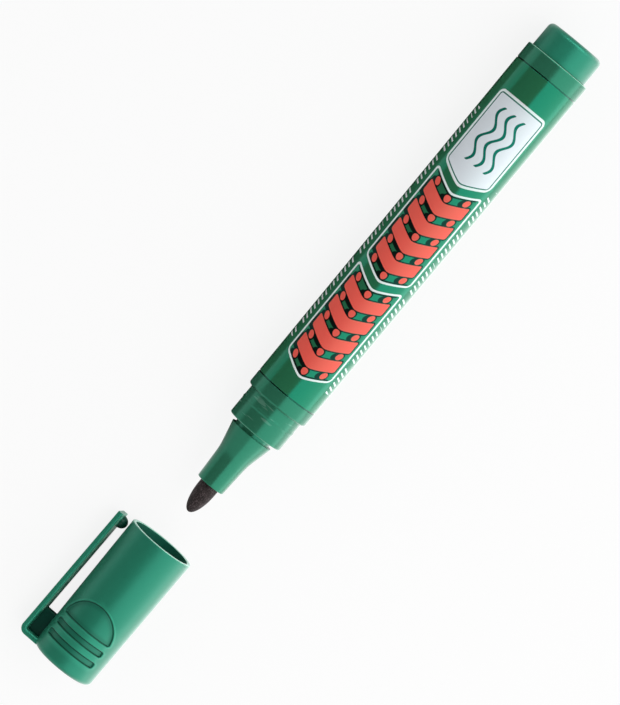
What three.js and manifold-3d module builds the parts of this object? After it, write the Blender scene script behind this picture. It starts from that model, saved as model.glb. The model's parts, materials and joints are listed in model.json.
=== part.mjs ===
// A permanent marker lying on its side, with its cap pulled off in line with the nib.
// Millimetres, +Z up, +X from the tail to the nib. Stations are measured from the barrel's
// shoulder, where the pushed-on cap stops; inside the cap they are measured from its mouth.
import * as THREE from "three";
import { mergeVertices } from "three/addons/utils/BufferGeometryUtils.js";
import Module from "manifold-3d";

const wasm = await Module();
wasm.setup();

// Barrel
const barrelLength = 95.72;
const shoulderRadius = 7.73;
const rearRadius = 8.05;
const barrelWall = 1.25;
const shoulderRound = 0.55;
const rearRound = 0.3;
const frontRingLength = 3.42;
const rearRingLength = 3.96;

// Collar at the front of the barrel, over which the cap snaps
const collarLength = 7.47;
const collarRadius = 6.84;
const collarWall = 1.2;
const collarRound = 0.3;
const collarLipLength = 2;
const beadStation = 2.85;
const beadWidth = 1;
const beadHeight = 0.12;

// Printed film round the barrel, in a shallow recess with an open seam at each end
const filmThickness = 0.15;
const filmFit = 0.02;
const seamWidth = 0.25;

// Ribs inside the barrel that centre the ink reservoir
const ribCount = 6;
const ribWidth = 0.8;
const ribRoot = 0.3;
const ribClearance = 0.1;

// Nozzle that holds the nib, seated on the collar's front
const neckLength = 1.05;
const flareLength = 6.2;
const nozzleLength = 14.31;
const nozzleTipRadius = 3.42;
const nozzleTipRound = 0.2;
const waistRadius = 3.77;
const waistBlend = 0.25;
const waistSpan = 1.8;
const flareRadius = 5.29;
const neckRadius = 4.6;
const neckClearance = 0.08;
const spigotLength = 9.3;
const barbHeight = 0.35;
const barbLength = 1.2;

// Nib, a rod of bonded fibre with a bullet tip and a pointed rear
const nibRadius = 2.33;
const nibExposed = 7.62;
const nibTipLength = 6.55;
const nibTailLength = 10.5;
const nibPointLength = 5;
const nibPointRadius = 0.8;
const nibClearance = 0.08;

// Ink reservoir and the plastic film wrapped round it
const reservoirRadius = 5.9;
const reservoirWrap = 0.12;
const reservoirFit = 0.03;
const reservoirFrontGap = 0.5;
const reservoirRearGap = 0.3;

// Plug that closes the tail
const tailLength = 6.38;
const tailRadius = 7.12;
const tailEndRadius = 7.07;
const tailRound = 1.2;
const tailWall = 1.3;
const plugDepth = 7.5;
const plugClearance = 0.08;
const seatGap = 0.05;

// Cap
const capPulledOff = 39.4;
const capLength = 34.9;
const capMouthRadius = 8.03;
const capEndRadius = 7.7;
const capWall = 0.88;
const capEndWall = 1.3;
const capMouthRound = 0.25;
const capEndRound = 1.1;

// Finger recesses on both flanks of the cap, measured from its closed end
const recessDepth = 0.38;
const recessHalfWidth = 6.35;
const slotStations = [4.2, 7.25];
const slotWidth = 1.5;
const slotRound = 0.5;
const dishStation = 10.25;
const dishLength = 6.35;

// Sealing liner inside the cap, whose rim meets the nozzle's flare when the cap is home
const capHomeGap = 0.2;
const linerDepth = 11;
const linerWall = 0.7;
const linerFloor = 1.2;
const linerFlangeLength = 4;
const linerClearance = 0.15;

// Clip, its arm and the web that stiffens their corner
const clipWidth = 5.5;
const clipThickness = 1.35;
const clipRootReach = 12.05;
const clipTipReach = 11.5;
const clipShortfall = 0.55;
const clipCornerRound = 1.7;
const clipEdge = 0.25;
const armThickness = 1.38;
const webLength = 6.25;
const webWidth = 2.4;
const flexGap = 0.05;
const nubRadius = 1.55;
const nubStation = 1.85;
const nubGap = 0.3;

// Finishes: colour and roughness
const glossGreen = [0x236b50, 0.22];
const filmGreen = [0x1c7048, 0.12];
const satinGreen = [0x21694d, 0.45];
const inkedFelt = [0x2a2524, 0.9];
const inkedFibre = [0x2b3a34, 0.95];
const clearFilm = [0xd8dcd8, 0.2];
const naturalWhite = [0xe8e9e4, 0.4];

// Facets of the round and curved surfaces
const segments = 40;
const nubSegments = 20;
const edgeSteps = 4;
const taperSteps = 6;
const domeSteps = 9;
const dishSteps = 14;
const slotSteps = 2;

// Stations of the nozzle: its flare's back edge, its waist and its tip
const flareStation = collarLength + neckLength;
const waistStation = flareStation + flareLength;
const nozzleReach = flareStation + nozzleLength;

// Straight line through two points of a profile, as a function of the station
const line = (x0, r0, x1, r1) => (x) => r0 + ((r1 - r0) * (x - x0)) / (x1 - x0);

const barrelRadiusAt = line(0, shoulderRadius, -barrelLength, rearRadius);
const boreRadiusAt = (x) => barrelRadiusAt(x) - barrelWall;
const capRadiusAt = line(0, capMouthRadius, capLength, capEndRadius);
const capBoreAt = (x) => capRadiusAt(x) - capWall;
const clipReachAt = line(clipShortfall, clipTipReach, capLength, clipRootReach);

// Turn about X at which the clip's lower corner and a flat of the rear ring touch the ground
function layAngle() {
  const reach = clipReachAt(capLength - clipCornerRound);
  const flatReach = rearRadius * Math.cos(Math.PI / segments);
  const corners = [
    [reach - clipEdge, clipWidth / 2],
    [reach, clipWidth / 2 - clipEdge],
  ];
  const angles = corners.map(([r, w]) => Math.asin(flatReach / Math.hypot(r, w)) - Math.atan2(w, r));
  return Math.min(...angles);
}

// Angle of the first corner of every turned piece, so that a flat faces the ground
const firstCorner = Math.PI * (1 + 1 / segments) - layAngle();

// The nozzle's barrel and flare are two straight tapers, blended where they cross
const sleeveTaper = line(nozzleReach, nozzleTipRadius, waistStation, waistRadius);
const flareTaper = line(waistStation, waistRadius, flareStation, flareRadius);
function nozzleRadiusAt(x) {
  const [a, b] = [sleeveTaper(x), flareTaper(x)];
  return (a + b + Math.hypot(a - b, waistBlend)) / 2;
}

// Points of a rounded edge about (x, r), from one angle to another in degrees
function roundEdge(x, r, radius, from, to) {
  return Array.from({ length: edgeSteps + 1 }, (_, i) => {
    const angle = THREE.MathUtils.degToRad(from + ((to - from) * i) / edgeSteps);
    return [x + radius * Math.cos(angle), r + radius * Math.sin(angle)];
  });
}

// Solid of revolution about +X from a profile of [station, radius] points
function turned(profile) {
  const points = profile.map(([x, r]) => new THREE.Vector2(Math.max(r, 0), x));
  return new THREE.LatheGeometry(points, segments, firstCorner).rotateZ(-Math.PI / 2);
}

// The same for a tube, whose profile closes on itself
const turnedTube = (profile) => turned([...profile, profile[0]]);

// Closed geometry as a solid that can be joined and cut
function solid(geometry) {
  const bare = geometry.clone();
  bare.deleteAttribute("normal");
  bare.deleteAttribute("uv");
  const merged = mergeVertices(bare, 1e-4);
  const corners = merged.index.array;
  const kept = [];
  for (let i = 0; i < corners.length; i += 3) {
    const [a, b, c] = corners.slice(i, i + 3);
    if (a !== b && b !== c && c !== a) kept.push(a, b, c);
  }
  return new wasm.Manifold(
    new wasm.Mesh({
      numProp: 3,
      vertProperties: merged.attributes.position.array,
      triVerts: new Uint32Array(kept),
    }),
  );
}

function geometryOf(made) {
  const { vertProperties, triVerts } = made.getMesh();
  return new THREE.BufferGeometry()
    .setAttribute("position", new THREE.BufferAttribute(vertProperties, 3))
    .setIndex(new THREE.BufferAttribute(triVerts, 1));
}

function part(name, geometry, [color, roughness]) {
  const material = new THREE.MeshStandardMaterial({ color, roughness, metalness: 0 });
  const mesh = new THREE.Mesh(geometry, material);
  mesh.name = name;
  return mesh;
}

// Barrel: one moulded tube with collar, snap bead, both bare rings and the inner ribs
function barrel() {
  const rear = -barrelLength;
  const recess = filmThickness + filmFit;
  const filmRear = rear + rearRingLength;
  const shoulderInside = -collarWall;
  const shell = solid(
    turnedTube([
      [rear, boreRadiusAt(rear)],
      ...roundEdge(rear + rearRound, rearRadius - rearRound, rearRound, 180, 90),
      [filmRear, barrelRadiusAt(filmRear)],
      [filmRear, barrelRadiusAt(filmRear) - recess],
      [-frontRingLength, barrelRadiusAt(-frontRingLength) - recess],
      [-frontRingLength, barrelRadiusAt(-frontRingLength)],
      ...roundEdge(-shoulderRound, shoulderRadius - shoulderRound, shoulderRound, 90, 0),
      [0, collarRadius],
      [beadStation - beadWidth / 2, collarRadius],
      [beadStation, collarRadius + beadHeight],
      [beadStation + beadWidth / 2, collarRadius],
      ...roundEdge(collarLength - collarRound, collarRadius - collarRound, collarRound, 90, 0),
      [collarLength, neckRadius + neckClearance],
      [collarLength - collarLipLength, neckRadius + neckClearance],
      [collarLength - collarLipLength, collarRadius - collarWall],
      [shoulderInside, collarRadius - collarWall],
      [shoulderInside, boreRadiusAt(shoulderInside)],
    ]),
  );
  const ribRear = rear + plugDepth + seatGap;
  const ribInner = reservoirRadius + reservoirFit + reservoirWrap + ribClearance;
  const ribOuter = boreRadiusAt(0) + ribRoot;
  let made = shell;
  for (let i = 0; i < ribCount; i++) {
    const rib = new THREE.BoxGeometry(shoulderInside - ribRear, ribOuter - ribInner, ribWidth)
      .translate((shoulderInside + ribRear) / 2, (ribOuter + ribInner) / 2, 0)
      .rotateX((2 * Math.PI * i) / ribCount);
    made = made.add(solid(rib));
  }
  return part("barrel", geometryOf(made), glossGreen);
}

// Printed film, flush with the bare rings on either side
function labelSleeve() {
  const rear = -barrelLength + rearRingLength + seamWidth;
  const front = -frontRingLength - seamWidth;
  const profile = [
    [rear, barrelRadiusAt(rear) - filmThickness],
    [rear, barrelRadiusAt(rear)],
    [front, barrelRadiusAt(front)],
    [front, barrelRadiusAt(front) - filmThickness],
  ];
  return part("label_sleeve", turnedTube(profile), filmGreen);
}

// Nozzle: bored for the nib, with a spigot that snaps behind the collar's lip
function nozzle() {
  const rear = flareStation - spigotLength;
  const barbFront = collarLength - collarLipLength - seatGap;
  const bore = nibRadius + nibClearance;
  const waist = Array.from({ length: taperSteps + 1 }, (_, i) => {
    const x = waistStation + waistSpan * ((2 * i) / taperSteps - 1);
    return [x, nozzleRadiusAt(x)];
  });
  const profile = [
    [rear, bore],
    [rear, neckRadius],
    [barbFront - barbLength, neckRadius],
    [barbFront, neckRadius + barbHeight],
    [barbFront, neckRadius],
    [flareStation, neckRadius],
    [flareStation, nozzleRadiusAt(flareStation)],
    ...waist,
    ...roundEdge(nozzleReach - nozzleTipRound, nozzleTipRadius - nozzleTipRound, nozzleTipRound, 90, 0),
    [nozzleReach, bore],
  ];
  return part("nozzle", turnedTube(profile), glossGreen);
}

const nibRear = flareStation - spigotLength - nibTailLength;

// Nib: half an ellipse at the tip, a blunt cone at the rear
function nib() {
  const tipBase = nozzleReach + nibExposed - nibTipLength;
  const tip = Array.from({ length: domeSteps + 1 }, (_, i) => {
    const angle = (Math.PI / 2) * (i / domeSteps);
    return [tipBase + nibTipLength * Math.sin(angle), nibRadius * Math.cos(angle)];
  });
  const profile = [
    [nibRear, 0],
    [nibRear, nibPointRadius],
    [nibRear + nibPointLength, nibRadius],
    ...tip,
  ];
  return part("nib", turned(profile), inkedFelt);
}

// Where the reservoir lies: behind the shoulder's inside, ahead of the tail plug
const reservoirFront = -collarWall - reservoirFrontGap;
const reservoirRear = -barrelLength + plugDepth + reservoirRearGap;

// Ink reservoir: a fibre rod with a socket in its front, into which the nib's rear is pushed
function inkReservoir() {
  const profile = [
    [reservoirRear, 0],
    [reservoirRear, reservoirRadius],
    [reservoirFront, reservoirRadius],
    [reservoirFront, nibRadius + nibClearance],
    [nibRear + nibPointLength, nibRadius + nibClearance],
    [nibRear - nibClearance, nibPointRadius + nibClearance],
    [nibRear - nibClearance, 0],
  ];
  return part("ink_reservoir", turned(profile), inkedFibre);
}

function reservoirFilm() {
  const inner = reservoirRadius + reservoirFit;
  const profile = [
    [reservoirRear, inner],
    [reservoirRear, inner + reservoirWrap],
    [reservoirFront, inner + reservoirWrap],
    [reservoirFront, inner],
  ];
  return part("reservoir_film", turnedTube(profile), clearFilm);
}

// Tail plug: a cup whose rim is pressed into the barrel and whose step stops on its rear face
function tailPlug() {
  const step = -barrelLength - seatGap;
  const end = -barrelLength - tailLength;
  const spigot = boreRadiusAt(-barrelLength + plugDepth) - plugClearance;
  const profile = [
    [end, 0],
    ...roundEdge(end + tailRound, tailEndRadius - tailRound, tailRound, 180, 90),
    [step, tailRadius],
    [step, spigot],
    [-barrelLength + plugDepth, spigot],
    [-barrelLength + plugDepth, spigot - tailWall],
    [end + tailWall, spigot - tailWall],
    [end + tailWall, 0],
  ];
  return part("tail_plug", turned(profile), satinGreen);
}

// Outline in the plane of station and reach, as wide as the clip, with its edges bevelled
function clipPlate(outline) {
  const plate = new THREE.ExtrudeGeometry(outline, {
    depth: clipWidth - 2 * clipEdge,
    bevelThickness: clipEdge,
    bevelSize: clipEdge,
    bevelOffset: -clipEdge,
    bevelSegments: 1,
    curveSegments: edgeSteps,
  });
  return plate.translate(0, 0, clipEdge - clipWidth / 2).rotateX(Math.PI);
}

// Where the clip starts to flex, and the middle of the cap's wall, in which its roots end
const flexStation = capLength - armThickness - webLength;
const wallMiddle = capEndRadius - capWall / 2;

// Arm and clip root in one bend, from the cap's closed end to the end of the web
function clipRootOutline() {
  const armInside = capLength - armThickness;
  const innerRound = Math.max(clipCornerRound - clipThickness, clipEdge);
  const outerBend = capLength - clipCornerRound;
  const innerBend = armInside - innerRound;
  const insideReach = clipReachAt(armInside) - clipThickness;
  const outline = new THREE.Shape();
  outline.moveTo(capLength, wallMiddle);
  outline.lineTo(capLength, clipRootReach - clipCornerRound);
  outline.quadraticCurveTo(capLength, clipRootReach, outerBend, clipReachAt(outerBend));
  outline.lineTo(flexStation, clipReachAt(flexStation));
  outline.lineTo(flexStation, clipReachAt(flexStation) - clipThickness);
  outline.lineTo(innerBend, clipReachAt(innerBend) - clipThickness);
  outline.quadraticCurveTo(armInside, insideReach, armInside, insideReach - innerRound);
  outline.lineTo(armInside, wallMiddle);
  outline.closePath();
  return outline;
}

// Web: a rib under the clip's root that ties it to the arm and the cap
function clipWeb() {
  const top = clipReachAt(flexStation) - clipThickness / 2;
  const length = webLength + armThickness / 2;
  return new THREE.BoxGeometry(length, top - wallMiddle, webWidth)
    .translate(flexStation + length / 2, -(top + wallMiddle) / 2, 0);
}

// Cap: moulded with the arm, the clip's root and the web, and with recesses in both flanks
function capShell() {
  const floor = capLength - capEndWall;
  const shell = solid(
    turned([
      [floor, 0],
      [floor, capBoreAt(floor)],
      [capMouthRound, capBoreAt(capMouthRound)],
      [0, capBoreAt(0) + capMouthRound],
      ...roundEdge(capMouthRound, capMouthRadius - capMouthRound, capMouthRound, 180, 90),
      ...roundEdge(capLength - capEndRound, capEndRadius - capEndRound, capEndRound, 90, 0),
      [capLength, 0],
    ]),
  );
  const root = solid(clipPlate(clipRootOutline()));
  const made = shell.add(root).add(solid(clipWeb())).subtract(fingerRecesses());
  return part("cap_shell", geometryOf(made), satinGreen);
}

// Finger recesses: outlines seen square to the clip, cut to one depth below the cap's surface
function fingerRecesses() {
  const through = 4 * capMouthRadius;
  const prism = (outline, curveSegments) =>
    solid(
      new THREE.ExtrudeGeometry(outline, { depth: through, bevelEnabled: false, curveSegments })
        .translate(0, 0, -through / 2),
    );
  const slots = slotStations.map((station) => prism(slotOutline(capLength - station), slotSteps));
  const dish = new THREE.Shape();
  dish.absellipse(capLength - dishStation, 0, dishLength, recessHalfWidth, Math.PI / 2, 1.5 * Math.PI);
  dish.closePath();
  const skin = solid(
    turnedTube([
      [0, capRadiusAt(0) - recessDepth],
      [0, 2 * capMouthRadius],
      [capLength, 2 * capMouthRadius],
      [capLength, capRadiusAt(capLength) - recessDepth],
    ]),
  );
  return slots.reduce((all, slot) => all.add(slot), prism(dish, dishSteps)).intersect(skin);
}

// Slot with rounded corners, which ends at the given station
function slotOutline(x1) {
  const x0 = x1 - slotWidth;
  const y = recessHalfWidth;
  const slot = new THREE.Shape();
  slot.moveTo(x0 + slotRound, -y);
  slot.lineTo(x1 - slotRound, -y);
  slot.quadraticCurveTo(x1, -y, x1, -y + slotRound);
  slot.lineTo(x1, y - slotRound);
  slot.quadraticCurveTo(x1, y, x1 - slotRound, y);
  slot.lineTo(x0 + slotRound, y);
  slot.quadraticCurveTo(x0, y, x0, y - slotRound);
  slot.lineTo(x0, -y + slotRound);
  slot.quadraticCurveTo(x0, -y, x0 + slotRound, -y);
  return slot;
}

// Liner: a cup pressed into the closed end of the cap, which seals on the nozzle's flare
function capLiner() {
  const end = capLength - capEndWall - seatGap;
  const bore = nozzleRadiusAt(capHomeGap + linerDepth) + linerClearance;
  const flange = capBoreAt(end) - plugClearance;
  const profile = [
    [end - linerFloor, 0],
    [end - linerFloor, bore],
    [linerDepth, bore],
    [linerDepth, bore + linerWall],
    [end - linerFlangeLength, bore + linerWall],
    [end - linerFlangeLength, flange],
    [end, flange],
    [end, 0],
  ];
  return part("cap_liner", turned(profile), naturalWhite);
}

// Clip blade: the springy length beyond the web, with a nub that almost meets the cap
function clipBlade() {
  const [tip, root] = [clipShortfall, flexStation - flexGap];
  const outline = new THREE.Shape();
  outline.moveTo(tip, clipReachAt(tip) - clipThickness);
  outline.lineTo(root, clipReachAt(root) - clipThickness);
  outline.lineTo(root, clipReachAt(root));
  outline.lineTo(tip, clipReachAt(tip));
  outline.closePath();
  const nubCentre = clipShortfall + nubStation;
  const nubBase = clipReachAt(nubCentre) - clipThickness;
  const nubHeight = nubBase - capRadiusAt(nubCentre) - nubGap;
  const dome = Array.from({ length: domeSteps + 1 }, (_, i) => {
    const angle = (Math.PI / 2) * (i / domeSteps);
    return new THREE.Vector2(nubRadius * Math.cos(angle), nubHeight * Math.sin(angle));
  });
  const sunk = -clipThickness / 2;
  const nub = new THREE.LatheGeometry(
    [new THREE.Vector2(0, sunk), new THREE.Vector2(nubRadius, sunk), ...dome],
    nubSegments,
  ).translate(nubCentre, -nubBase, 0);
  const blade = solid(clipPlate(outline));
  return part("clip_blade", geometryOf(blade.add(solid(nub))), satinGreen);
}

const cap = new THREE.Group();
cap.add(capShell(), capLiner(), clipBlade());
cap.position.x = capPulledOff;

const marker = new THREE.Group();
marker.add(barrel(), labelSleeve(), nozzle(), nib(), inkReservoir(), reservoirFilm(), tailPlug(), cap);
marker.rotation.x = layAngle();

// The origin is the middle of the footprint, on the ground
const model = new THREE.Group();
model.add(marker);
model.updateMatrixWorld(true);
const extent = new THREE.Box3().setFromObject(model, true);
const middle = extent.getCenter(new THREE.Vector3());
marker.position.set(-middle.x, -middle.y, -extent.min.z);

export default model;
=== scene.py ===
import json

import bmesh
import bpy
import numpy as np
from mathutils import Matrix, Vector


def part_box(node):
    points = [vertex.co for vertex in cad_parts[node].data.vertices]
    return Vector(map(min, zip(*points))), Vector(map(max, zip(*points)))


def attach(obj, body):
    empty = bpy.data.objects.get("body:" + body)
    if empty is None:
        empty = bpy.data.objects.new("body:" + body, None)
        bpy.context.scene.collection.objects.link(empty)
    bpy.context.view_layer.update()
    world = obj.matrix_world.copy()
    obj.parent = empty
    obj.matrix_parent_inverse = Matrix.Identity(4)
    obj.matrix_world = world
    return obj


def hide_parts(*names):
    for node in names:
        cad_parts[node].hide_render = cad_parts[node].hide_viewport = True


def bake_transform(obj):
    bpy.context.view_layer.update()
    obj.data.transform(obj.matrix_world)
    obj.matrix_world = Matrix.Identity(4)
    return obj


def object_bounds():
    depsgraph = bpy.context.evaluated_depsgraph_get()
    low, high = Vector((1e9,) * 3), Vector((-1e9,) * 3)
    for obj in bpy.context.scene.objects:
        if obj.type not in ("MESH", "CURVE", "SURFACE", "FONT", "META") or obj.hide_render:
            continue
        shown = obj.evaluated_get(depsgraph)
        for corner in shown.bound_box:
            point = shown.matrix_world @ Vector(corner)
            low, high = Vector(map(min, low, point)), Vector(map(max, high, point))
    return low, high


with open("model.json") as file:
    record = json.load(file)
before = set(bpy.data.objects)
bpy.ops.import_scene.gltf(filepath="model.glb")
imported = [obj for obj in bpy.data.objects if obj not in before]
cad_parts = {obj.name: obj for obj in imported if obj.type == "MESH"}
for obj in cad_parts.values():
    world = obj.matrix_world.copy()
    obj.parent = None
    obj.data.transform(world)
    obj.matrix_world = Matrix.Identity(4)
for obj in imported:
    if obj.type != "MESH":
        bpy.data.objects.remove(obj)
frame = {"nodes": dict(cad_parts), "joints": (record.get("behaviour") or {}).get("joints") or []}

cad_box = [list(corner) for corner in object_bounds()]

# Barrel: one tube moulded in gloss green polypropylene. Its collar carries the bead that the
# cap snaps over, a bare ring shows on either side of the printed film, and six ribs inside
# hold the ink reservoir in the middle. Lengths are in millimetres up to place().
MM = 0.001
barrel_length = 95.72
shoulder_radius, rear_radius = 7.73, 8.05
barrel_wall = 1.25
front_ring, rear_ring = 3.42, 3.96
film_recess = 0.17
collar_length, collar_radius, collar_wall, collar_lip = 7.47, 6.84, 1.2, 2
bead_station, bead_half, bead_height = 2.85, 0.5, 0.12
neck_radius, neck_gap = 4.6, 0.08
rib_count, rib_half, rib_slope, rib_radius, rib_gap = 6, 0.4, 0.2, 6.15, 0.05
plug_depth = 7.5
bore_round, rear_round, shoulder_round, recess_round = 0.15, 0.3, 0.55, 0.05
collar_foot, collar_round, bead_round, lip_round = 0.12, 0.3, 0.5, 0.1

barrel_low, barrel_high = (np.array(corner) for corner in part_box("barrel"))
axis_y, axis_z = (barrel_low + barrel_high)[1:] / 2
shoulder_x = barrel_high[0] - collar_length * MM
# The solids are many-sided: radii are taken to their flats, so true rounds stay inside them
flats = (barrel_high - barrel_low)[2] / 2 / (rear_radius * MM)


def place(station, radius, angle):
    """Points in the frame's metres: station along the axis ahead of the shoulder, radius about
    the axis, and angle about it from +Y towards +Z."""
    x = shoulder_x + MM * np.asarray(station)
    y = axis_y + MM * radius * np.cos(angle)
    z = axis_z + MM * radius * np.sin(angle)
    return np.stack(np.broadcast_arrays(x, y, z), axis=-1)


def rounded(corners, closed=False, steps=6, hold=0.05):
    """Line through [station, radius, fillet] corners. A fillet is the arc that touches both
    sides, swept about its centre from one touching point to the other, and a point just past
    each end of the arc keeps the side beyond it straight in the shading."""
    corners = np.array(corners, float)
    sweep = np.linspace(0, 1, steps + 1)[:, None]
    made = []
    for i, (station, radius, fillet) in enumerate(corners):
        corner = np.array([station, radius])
        if fillet == 0 or not closed and i in (0, len(corners) - 1):
            made.append(corner[None])
            continue
        back = corners[i - 1, :2] - corner
        on = corners[(i + 1) % len(corners), :2] - corner
        back, on = back / np.linalg.norm(back), on / np.linalg.norm(on)
        half = np.arccos(np.clip(back @ on, -1, 1)) / 2
        touch = fillet / np.tan(half)
        centre = corner + (back + on) / np.linalg.norm(back + on) * fillet / np.sin(half)
        first, last = corner + back * touch - centre, corner + on * touch - centre
        turn = np.pi - 2 * half
        arc = (np.sin((1 - sweep) * turn) * first + np.sin(sweep * turn) * last) / np.sin(turn)
        before, after = corner + back * (touch + hold), corner + on * (touch + hold)
        made.append(np.vstack([before, centre + arc, after]))
    return np.concatenate(made)


def linked(name, data):
    """A new object in the scene that holds the data, at the origin."""
    made = bpy.data.objects.new(name, data)
    bpy.context.scene.collection.objects.link(made)
    return made


weld = 1e-7


def woven(name, material, *sheets, crease=40, merge=True):
    """One piece from sheets of points, each a grid of rows by columns, with quads between
    neighbours. Columns close on themselves, and rows too where a sheet is given as a ring.
    Faces look out where columns turn from +Y to +Z and outer rows run towards +X."""
    points, faces, start = [], [], 0
    for grid, ring in sheets:
        rows, columns = grid.shape[:2]
        i = np.arange(rows if ring else rows - 1)[:, None]
        j = np.arange(columns)[None, :]
        near, far = i % rows * columns, (i + 1) % rows * columns
        right = (j + 1) % columns
        quads = np.stack(np.broadcast_arrays(near + j, near + right, far + right, far + j), -1)
        faces.append(quads.reshape(-1, 4) + start)
        points.append(grid.reshape(-1, 3))
        start += rows * columns
    mesh = bpy.data.meshes.new(name)
    mesh.from_pydata(np.concatenate(points).tolist(), [], np.concatenate(faces).tolist())
    if merge:
        shell = bmesh.new()
        shell.from_mesh(mesh)
        bmesh.ops.remove_doubles(shell, verts=shell.verts, dist=weld)
        shell.to_mesh(mesh)
        shell.free()
    mesh.shade_smooth()
    mesh.set_sharp_from_angle(angle=np.radians(crease))
    mesh.materials.append(material)
    return linked(name, mesh)


turned_columns = 240


def turns(columns=turned_columns, start=0.0):
    """Angles of the columns of a turned piece, evenly round the axis."""
    return start + np.arange(columns) * 2 * np.pi / columns


def turned(profile, angles=turns()):
    """Surface of revolution of a [station, radius] profile about the marker's axis."""
    return place(profile[:, :1], profile[:, 1:] * flats, angles)


def barrel_radius(station):
    """Outer radius of the barrel's straight taper from the shoulder to the rear."""
    return shoulder_radius - (rear_radius - shoulder_radius) * station / barrel_length


def barrel_surface():
    """The barrel's outline turned about the axis. Inside, the bore's radius drops to the ribs'
    where a column lies within half a rib's width of a rib's middle."""
    rear, film_rear, film_front = -barrel_length, -barrel_length + rear_ring, -front_ring
    bore = barrel_radius(rear) - barrel_wall
    outside = rounded([
        [rear + 1, bore, 0],
        [rear, bore, bore_round],
        [rear, rear_radius, rear_round],
        [film_rear, barrel_radius(film_rear), recess_round],
        [film_rear, barrel_radius(film_rear) - film_recess, 0],
        [film_front, barrel_radius(film_front) - film_recess, 0],
        [film_front, barrel_radius(film_front), recess_round],
        [0, shoulder_radius, shoulder_round],
        [0, collar_radius, collar_foot],
        [bead_station - bead_half, collar_radius, bead_round],
        [bead_station, collar_radius + bead_height, bead_round],
        [bead_station + bead_half, collar_radius, bead_round],
        [collar_length, collar_radius, collar_round],
        [collar_length, neck_radius + neck_gap, lip_round],
        [collar_length - collar_lip, neck_radius + neck_gap, 0],
        [collar_length - collar_lip, collar_radius - collar_wall, 0],
        [-collar_wall, collar_radius - collar_wall, 0],
    ])
    rib_rear = rear + plug_depth + rib_gap
    front_bore = barrel_radius(-collar_wall) - barrel_wall
    rear_bore = barrel_radius(rib_rear) - barrel_wall
    inside = [[-collar_wall, front_bore], [rib_rear, rear_bore], [rib_rear, rear_bore]]
    profile = np.vstack([outside, inside])
    ribbed = np.r_[np.zeros(len(outside)), 1, 1, 0][:, None]
    angles = turns()
    pitch = 2 * np.pi / rib_count
    off_rib = np.abs((angles + pitch / 2) % pitch - pitch / 2) * rib_radius
    rib = np.clip((rib_half + rib_slope / 2 - off_rib) / rib_slope, 0, 1)
    radius = profile[:, 1:] + ribbed * rib * (rib_radius - profile[:, 1:])
    return place(profile[:, :1], radius * flats, angles)


class Shade:
    """One output of a node in a material. Arithmetic on it adds Math nodes, and node() adds
    any other kind: its type, its settings, and the values or links of its sockets."""

    def __init__(self, tree, socket=None):
        self.tree, self.socket = tree, socket

    def node(self, kind, settings=(), inputs=(), output=0):
        made = self.tree.nodes.new(kind)
        for key, value in dict(settings).items():
            if key == "stops":
                ramp = made.color_ramp.elements
                for stop, (at, color) in zip(ramp, value[:2]):
                    stop.position, stop.color = at, (*color, 1)
                for at, color in value[2:]:
                    ramp.new(at).color = (*color, 1)
            else:
                setattr(made, key, value)
        for key, value in dict(inputs).items():
            if isinstance(value, Shade):
                self.tree.links.new(value.socket, made.inputs[key])
            else:
                made.inputs[key].default_value = value
        return Shade(self.tree, made.outputs[output])

    def math(self, operation, *others, clamp=False):
        settings = {"operation": operation, "use_clamp": clamp}
        return self.node("ShaderNodeMath", settings, enumerate((self, *others)))

    def __add__(self, other):
        return self.math("ADD", other)

    def __sub__(self, other):
        return self.math("SUBTRACT", other)

    def __rsub__(self, other):
        return self * -1 + other

    def __mul__(self, other):
        return self.math("MULTIPLY", other)

    __radd__, __rmul__ = __add__, __mul__

    def along(self, axis):
        """One of these coordinates."""
        return self.node("ShaderNodeSeparateXYZ", {}, {0: self}, axis)

    def smaller(self, other):
        return self.math("MINIMUM", other)

    def larger(self, other):
        return self.math("MAXIMUM", other)

    def size(self):
        return self.math("ABSOLUTE")

    def swing(self, reach):
        """Distance to the nearest multiple of twice the reach."""
        return self.math("PINGPONG", reach)

    def inside(self, soft=0.05):
        """Mask that is 1 where this distance is below zero, with a soft edge."""
        return self.math("MULTIPLY_ADD", -1 / soft, 0.5, clamp=True)

    def over(self, below, color):
        """Colour laid over another where this mask is 1."""
        inputs = {0: self, 6: below, 7: color}
        return self.node("ShaderNodeMix", {"data_type": "RGBA"}, inputs, 2)

    def noise(self, scale, detail=2, roughness=0.5):
        """Noise on these coordinates, from 0 to 1, with so many grains a metre."""
        inputs = {"Vector": self, "Scale": scale, "Detail": detail, "Roughness": roughness}
        return self.node("ShaderNodeTexNoise", {}, inputs, "Fac")

    def stretched(self, scale):
        """These coordinates with each axis scaled."""
        return self.node("ShaderNodeMapping", {}, {"Vector": self, "Scale": scale})


def coated(name, constants):
    """A new material, its Principled shader with constant values set, and a Shade on the
    piece's own coordinates."""
    material = bpy.data.materials.new(name)
    material.use_nodes = True
    tree = material.node_tree
    shader = tree.nodes["Principled BSDF"]
    for key, value in constants.items():
        shader.inputs[key].default_value = value
    here = Shade(tree).node("ShaderNodeTexCoord", output="Object")
    return material, shader, here


def feed(shader, **values):
    """Links Shades to the Principled shader's sockets, named with underscores for spaces."""
    for key, value in values.items():
        value.tree.links.new(value.socket, shader.inputs[key.replace("_", " ")])


def tinted(color, share):
    """A colour made lighter or darker by a share, with the alpha that sockets ask for."""
    return (*(channel * share for channel in color), 1)


def bumped(height, distance):
    """Normal of a surface raised by a height from 0 to 1 times a distance in metres."""
    return height.node("ShaderNodeBump", {}, {"Height": height, "Distance": distance}, "Normal")


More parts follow.
